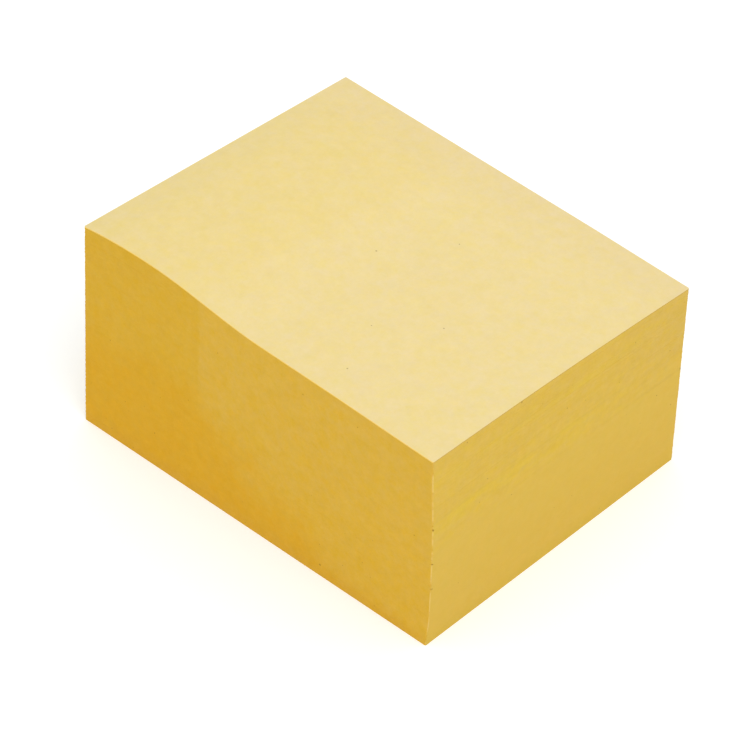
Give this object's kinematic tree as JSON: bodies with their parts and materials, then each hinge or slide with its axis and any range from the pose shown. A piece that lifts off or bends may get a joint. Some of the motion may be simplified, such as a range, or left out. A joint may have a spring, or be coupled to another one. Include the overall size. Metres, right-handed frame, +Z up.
{
  "type": "sticky note pad",
  "caption": "Small block of pale yellow sticky notes, square cut, with a glued end that stands a little thicker than the free end.",
  "frame": {"origin": "on the table, in the middle of the box that the block fills", "axes": "+Y along the sheets towards the glued end, +X across the sheets, +Z up through the pile"},
  "size_m": [0.0402, 0.05, 0.0272],
  "materials": {
    "note_paper": "matte uncoated paper, pale on the top sheet and deeper yellow on the cut edges"
  },
  "bodies": {
    "root": {"sheet_stack": "note_paper"}
  },
  "joints": []
}
